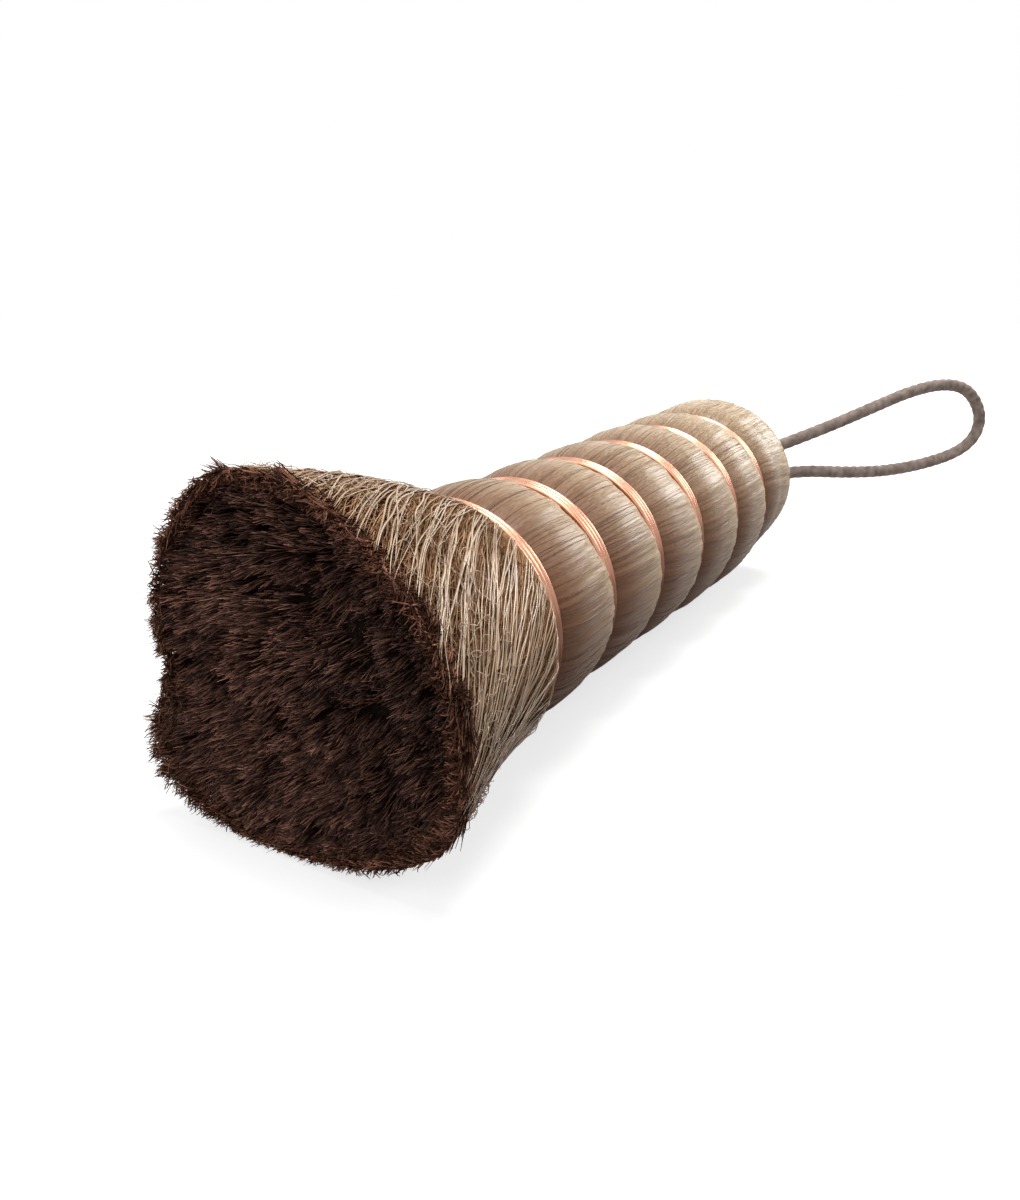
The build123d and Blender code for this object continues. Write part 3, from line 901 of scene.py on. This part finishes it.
def handle_strands(count, steps):
    """Fibres that each run from one winding's groove to the next, with a slight slant and sway."""
    which = rng.integers(0, len(WINDING_X), count)
    starts, stops = lobe_starts[which][:, None], lobe_stops[which][:, None]
    u = rounded_steps(0, 1, steps)[None]
    x = starts + (stops - starts) * u
    angle = (
        rng.uniform(0, math.tau, count)[:, None] + rng.normal(0, 0.02, count)[:, None] * (u - 0.5)
        + 0.004 * np.sin(u * rng.uniform(3, 9, count)[:, None] + rng.uniform(0, 6, count)[:, None])
    )
    lift = rng.uniform(-0.13, -0.04, count)[:, None] * MM
    lines = place(x + overhang(x, angle), angle, bark_radius(x, angle) + pleats(x, angle) + lift)
    tapered_strands(
        "handle_strands", lines, (0.03, 0.06), (0, 1), lobe_strand_material, painted_paleness(x, angle)
    )


handle_strands(count=2400, steps=14)


# The bristles

FIBRE_LENGTH = 7.0 * MM
EDGE_FIBRE_LENGTH = 3.8 * MM
SHORTEST_FIBRE = 1.2 * MM
CORE_RING = 0.72
FLOOR_BEND_HEIGHT = 2.0 * MM

# The small tufts and the bundles that they gather in: width, random shortness and lean
TUFT_CELL = 1.15 * MM
TUFT_TRIM = 1.2 * MM
TUFT_LEAN = 1.9 * MM
BUNDLE_CELL = 3.6 * MM
BUNDLE_TRIM = 1.0 * MM
BUNDLE_LEAN = 2.2 * MM
FIBRE_TRIM = 0.9 * MM
FIBRE_CURL = 0.45 * MM
CELL_TABLE_SIDE = 64

# The crease between the core's bristles and the mat's, shown on the near side only
CREASE_CENTRE = np.array([2.0, -1.5]) * MM
CREASE_RADIUS = 14.7 * MM
CREASE_WIDTH = 1.9 * MM
CREASE_DEPTH = 3.3 * MM

# Partings in the bristles, in millimetres: place across and up from the axis, half width and height, depth
PARTINGS = np.array([
    (4.5, 13.3, 3.0, 1.5, 4.0), (3.6, -2.8, 1.9, 1.1, 3.6), (-11.7, -7.1, 1.4, 1.1, 3.0),
])

# Angle in degrees, and how many millimetres the outermost tips lean outward there
TIP_SPLAY = np.array([
    (20, 0.1), (80, 0.0), (100, -0.5), (125, -0.7), (140, 0.0), (166, -0.1), (174, 0.2), (181, -0.9),
    (189, -3.6), (192.5, -0.6), (197, 1.8), (206, 2.5), (212, 2.5), (222, 0.9), (231, -0.6), (250, -0.4),
    (275, -0.3), (290, 0.1), (312, -0.4), (326, -1.8), (340, -1.3), (352, 0),
])


def tip_splay(angle):
    """How far the outermost tips lean outward at an angle, in metres."""
    marks, amounts = TIP_SPLAY.T
    return np.interp(np.degrees(angle), marks, amounts, period=360) * MM


def cell_values(spot, cell, seed):
    """The middle of the jittered cell around each flat spot, and that cell's own three random shares."""
    table = np.random.default_rng(seed).uniform(0, 1, (CELL_TABLE_SIDE, CELL_TABLE_SIDE, 5))
    corner = np.floor(spot / cell).astype(int)
    own = table[corner[:, 0] % CELL_TABLE_SIDE, corner[:, 1] % CELL_TABLE_SIDE]
    return (corner + 0.15 + 0.7 * own[:, 3:]) * cell, own[:, :3]


def hollow_depth(spot):
    """How much deeper the tips lie: along the crease between the core and the mat, and in a few partings."""
    centred = spot - CREASE_CENTRE
    off_crease = np.hypot(centred[:, 0], centred[:, 1]) - CREASE_RADIUS
    across_fade = np.clip((6 * MM - spot[:, 0]) / (8 * MM), 0, 1)
    low_fade = np.clip((spot[:, 1] + 12 * MM) / (6 * MM), 0, 1)
    depth = CREASE_DEPTH * np.exp(-((off_crease / CREASE_WIDTH) ** 2)) * (across_fade * low_fade)
    for across, up, half_width, half_height, parting_depth in PARTINGS * MM:
        off = np.hypot((spot[:, 0] - across) / half_width, (spot[:, 1] - up) / half_height)
        depth = depth + parting_depth * np.exp(-(off**2))
    return np.minimum(depth, FIBRE_LENGTH - SHORTEST_FIBRE)


def bent_by_floor(lines):
    """Points near the floor and under it, squeezed up over it: z = h exp(z / h - 1) under the height h."""
    z = lines[..., 2]
    lines[..., 2] = np.where(
        z < FLOOR_BEND_HEIGHT, FLOOR_BEND_HEIGHT * np.exp(np.minimum(z / FLOOR_BEND_HEIGHT - 1, 0)), z
    )
    return lines


def bristle_fibres(name, count, ring_low, ring_high, length, material, seed, replaced=()):
    """Combed fibres: feet and tips at the same share of the outline, tips drawn into small tufts."""
    own = np.random.default_rng(seed)
    angle = own.uniform(0, math.tau, count)
    share = np.sqrt(own.uniform(ring_low**2, ring_high**2, count))
    steps = 4
    u = np.linspace(0, 1, steps)[None]
    reach = HEAD_REACH * rim_share(angle) * share
    spot = np.stack([-reach * np.cos(angle), reach * np.sin(angle)], axis=-1)
    tuft, tuft_own = cell_values(spot, TUFT_CELL, seed=21)
    _, bundle_own = cell_values(spot, BUNDLE_CELL, seed=22)
    trim = FIBRE_TRIM * own.uniform(0, 1, count) ** 1.5
    trim = trim + TUFT_TRIM * tuft_own[:, 2] + BUNDLE_TRIM * bundle_own[:, 2]
    outer = np.clip((share - 0.75) / 0.25, 0, 1)
    trim = trim * (1 - 0.5 * outer) + hollow_depth(spot)
    x = (TIPS_X + trim)[:, None] + length * (1 - u)
    lines = place(x, angle[:, None], flared_radius(x, angle[:, None]) * share[:, None])
    pull = (tuft - spot) * own.uniform(0.4, 1.0, count)[:, None]
    lean = (tuft_own[:, :2] - 0.5) * TUFT_LEAN + (bundle_own[:, :2] - 0.5) * BUNDLE_LEAN
    curl = own.normal(0, FIBRE_CURL, (count, 2))
    splay = (tip_splay(angle) * outer * own.uniform(0.5, 1.3, count))[:, None]
    splay = splay * np.stack([-np.cos(angle), np.sin(angle)], axis=-1)
    lines[:, :, 1:] += (u**1.7)[..., None] * (pull + lean + curl + splay)[:, None]
    lines = bent_by_floor(lines)
    thick = own.uniform(0.06, 0.12, count)[:, None] * MM * (1 - 0.6 * u**2)
    # Painted shade: the fibres' tint is darkened by up to 35 % towards the near side
    near_side_shade = np.clip((4 * MM - spot[:, 0]) / (18 * MM), 0, 1)
    tuft_tint = 0.6 + 0.8 * tuft_own[:, 1] * bundle_own[:, 0] ** 0.5
    tint = own.uniform(0, 1, count) ** 2.2 * (1 - 0.35 * near_side_shade) * tuft_tint
    piece = strand_piece(name, lines, thick, STRAND_SIDES, material, tint)
    if replaced:
        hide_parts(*replaced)


bristle_fibres(
    "core_tuft", count=9900, ring_low=0.0, ring_high=CORE_RING, length=FIBRE_LENGTH,
    material=bristle_material, seed=11, replaced=["core_bristles"],
)
bristle_fibres(
    "wrap_tuft", count=9900, ring_low=CORE_RING, ring_high=0.97, length=FIBRE_LENGTH,
    material=bristle_material, seed=12, replaced=["wrap_bristles"],
)
bristle_fibres(
    "edge_tuft", count=6500, ring_low=0.94, ring_high=0.995, length=EDGE_FIBRE_LENGTH,
    material=fringe_material, seed=13,
)


def rim_fringe(count, seed):
    """Reddish fibres that leave the sheath's surface near its rim and run on past it to the tips."""
    own = np.random.default_rng(seed)
    angle = own.uniform(0, math.tau, count)
    steps = 6
    u = np.linspace(0, 1, steps)[None]
    root_x = RIM_X + (3.6 * own.uniform(0, 1, count) ** 1.8 - 2.8) * MM
    tip_x = np.minimum(TIPS_X + own.uniform(0, 1, count) ** 1.3 * 2.4 * MM, root_x - 1.5 * MM)
    x = root_x[:, None] + (tip_x - root_x)[:, None] * u
    sway = own.normal(0, 0.03, count)[:, None] * u + own.normal(0, 0.03, count)[:, None] * u**2
    sway = sway + own.uniform(0, 0.012, count)[:, None] * np.sin(own.uniform(3, 9, count)[:, None] * u)
    turned = angle[:, None] + sway
    rise = (-0.3 + own.uniform(-1.5, 0.7, count)[:, None] * u**1.5) * MM
    surface = np.where(x > RIM_X, bark_radius(x, turned), flared_radius(x, turned))
    splay = tip_splay(angle)[:, None] * own.uniform(0.3, 1.2, count)[:, None] * u**2
    lines = bent_by_floor(place(x, turned, surface + rise + splay))
    thick = own.uniform(0.07, 0.13, count)[:, None] * MM * (1 - 0.6 * u**2)
    tint = own.uniform(0, 1, count) ** 1.9
    strand_piece("rim_fringe", lines, thick, STRAND_SIDES, fringe_material, tint)


rim_fringe(count=5200, seed=31)


# The ground that the bristles grow from, near black as painted shade of their depths

# Its section, from the middle round the lip and back: share of the outline, and millimetres behind the tips
GROUND_SECTION = np.array([
    (0.001, 4.5), (0.3, 4.6), (0.6, 4.9), (0.85, 5.4), (0.90, 5.2), (0.915, 2.6), (0.93, 2.3), (0.945, 2.6),
    (0.96, 7.0), (0.6, 7.5), (0.001, 7.6),
])


def bristle_ground():
    """A shallow cup with the head's outline, near black as painted shade, which nothing shows through between
    the fibres.
    """
    share, behind = GROUND_SECTION.T[:, :, None]
    turn = round_angles(240)[None]
    x = TIPS_X + behind * MM + 0 * turn
    uv = np.stack(np.broadcast_arrays(turn / math.tau, share), axis=-1)
    piece = skin_piece(
        "bristle_ground", place(x, turn, flared_radius(x, turn) * share), uv, depth_shade_material,
        close_first=True, close_last=True,
    )
    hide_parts("inner_wrap")


bristle_ground()


# The bundle's fold at the handle end

FOLD_RISE = 0.15 * MM
FOLD_DIP = 0.6 * MM
FOLD_SINK = 0.04 * MM
FOLD_WRINKLE = 0.05 * MM


def fold_x(rings):
    """The fold's place along X by its share s of the lip: a rise r (1 - s^2) less a dip d sin^2(pi s^1.5)."""
    return END_X + FOLD_RISE * (1 - rings**2) - FOLD_DIP * np.sin(np.pi * rings**1.5) ** 2


def end_fold():
    """The handle's end: the fold's surface from the sheath's lip in to the twine in the middle."""
    rings = np.linspace(1, 0.02, 40)[:, None]
    turn = round_angles(300)[None]
    radius = rings * (bark_radius(END_X + 0 * turn, turn) + 0.1 * MM)
    wrinkles = ripple(turn + rings, lowest=20, highest=60, count=9, seed=8)
    x = fold_x(rings) - FOLD_SINK + FOLD_WRINKLE * wrinkles * np.sin(np.pi * rings)
    # The second UV place runs from 1 at the lip to the middle, where the lobe material's root colour paints
    # shade round the twine
    uv = np.stack(np.broadcast_arrays(turn / math.tau, rings), axis=-1)
    piece = skin_piece("core_fold", place(x, turn, radius), uv, lobe_material, close_last=True)
    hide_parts("fibre_core")


def end_fibres(count, steps, shoulder_steps):
    """Fibres that run on from the end lobe over its shoulder, a quarter of a circle, and in over the fold."""
    quarter = np.linspace(0, math.pi / 2, shoulder_steps)[None]
    rings = np.linspace(1, 0.15, steps - shoulder_steps + 1)[None, 1:]
    foot_angle = rng.uniform(0, math.tau, count)[:, None]
    angle = foot_angle + rng.normal(0, 0.05, count)[:, None] * np.linspace(0, 1, steps)
    lift = rng.uniform(-0.06, 0.03, count)[:, None] * MM
    shoulder_x = END_X - END_LOBE_SETBACK * (1 - np.sin(quarter)) + 0 * lift
    shoulder = bark_radius(shoulder_x, angle[:, :shoulder_steps]) + lift * np.cos(quarter)
    lip = bark_radius(END_X + 0 * angle, angle)[:, shoulder_steps:]
    x = np.concatenate([shoulder_x + lift * np.sin(quarter), fold_x(rings) + lift], axis=1)
    radius = np.concatenate([shoulder, rings * lip], axis=1)
    # Their colour's second place follows the bark's painted shade, and over the fold darkens towards the
    # middle as painted shade
    grown = np.concatenate([painted_paleness(shoulder_x, angle[:, :shoulder_steps]), rings**0.6 + 0 * lift], axis=1)
    lines = place(x, angle, radius)
    tapered_strands("end_fibres", lines, (0.03, 0.06), (0, 1), lobe_strand_material, grown)


end_fold()
end_fibres(count=800, steps=16, shoulder_steps=8)

# The hidden knot keeps its solid's form
for material_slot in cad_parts["loop_knot"].material_slots:
    material_slot.material = twine


# The floor, the light and the camera

def stage_floor():
    """A plain pale floor that shows white to the camera and keeps the brush's shadow."""
    bpy.ops.mesh.primitive_plane_add(size=6, location=(0, 0, 0))
    floor = bpy.context.object
    floor.name = "floor"
    material, tree, shader = new_material("pale_floor", (0.4, 0.4, 0.4), 0.9)
    shader.inputs["Emission Color"].default_value = (1, 1, 1, 1)
    shader.inputs["Specular IOR Level"].default_value = 0.0
    where = add_node(tree, "ShaderNodeTexCoord")
    length = add_node(tree, "ShaderNodeVectorMath", {0: where.outputs["Object"]}, operation="LENGTH")
    away = add_node(tree, "ShaderNodeMapRange", {
        "Value": length.outputs["Value"], "From Min": 0.08, "From Max": 0.45, "To Min": 0.72, "To Max": 1.0,
    })
    path = add_node(tree, "ShaderNodeLightPath")
    shown = add_node(tree, "ShaderNodeMath", {
        0: path.outputs["Is Camera Ray"], 1: away.outputs["Result"],
    }, operation="MULTIPLY")
    tree.links.new(shown.outputs["Value"], shader.inputs["Emission Strength"])
    floor.data.materials.append(material)


def area_light(name, place_at, size, power, target=(0, 0, 0.02)):
    """A square soft light that faces the brush, or another target."""
    data = bpy.data.lights.new(name, "AREA")
    data.size = size
    data.energy = power
    light = bpy.data.objects.new(name, data)
    light.location = place_at
    light.rotation_euler = (Vector(target) - Vector(place_at)).to_track_quat("-Z", "Y").to_euler()
    bpy.context.scene.collection.objects.link(light)


def stage_world():
    """A pale surround: white to the camera and to shiny metal, softer as light."""
    world = bpy.data.worlds.new("surround")
    bpy.context.scene.world = world
    world.use_nodes = True
    tree = world.node_tree
    background = tree.nodes["Background"]
    background.inputs["Color"].default_value = (1, 1, 1, 1)
    path = add_node(tree, "ShaderNodeLightPath")
    shiny = add_node(tree, "ShaderNodeMath", {
        0: path.outputs["Is Glossy Ray"], 1: path.outputs["Is Transmission Ray"],
    }, operation="MAXIMUM")
    seen = add_node(tree, "ShaderNodeMath", {
        0: path.outputs["Is Camera Ray"], 1: shiny.outputs["Value"],
    }, operation="MAXIMUM")
    direct = add_node(tree, "ShaderNodeMix", {"Factor": seen.outputs["Value"], "A": 0.16, "B": 1.0})
    tree.links.new(direct.outputs["Result"], background.inputs["Strength"])


stage_floor()
stage_world()
area_light("key", (0.12, -0.08, 1.2), size=0.5, power=11.5)
area_light("side", (0.29, -0.75, 0.80), size=0.4, power=1.4)
area_light("back", (0.62, -0.24, 0.28), size=0.25, power=1.7)
area_light("fill", (-0.8, 0.0, 0.8), size=0.8, power=4, target=(-0.04, 0, 0.02))
area_light("far", (0.1, 0.9, 0.6), size=0.7, power=4)

camera_data = bpy.data.cameras.new("camera")
camera_data.lens = CAMERA_LENS
camera_data.sensor_width = CAMERA_SENSOR
camera_data.clip_start = 1 * MM
camera = bpy.data.objects.new("camera", camera_data)
camera.location = CAMERA_PLACE
camera.rotation_euler = CAMERA_DIRECTION.to_track_quat("-Z", "Y").to_euler()
bpy.context.scene.collection.objects.link(camera)
bpy.context.scene.camera = camera
bpy.context.scene.view_settings.view_transform = "Standard"
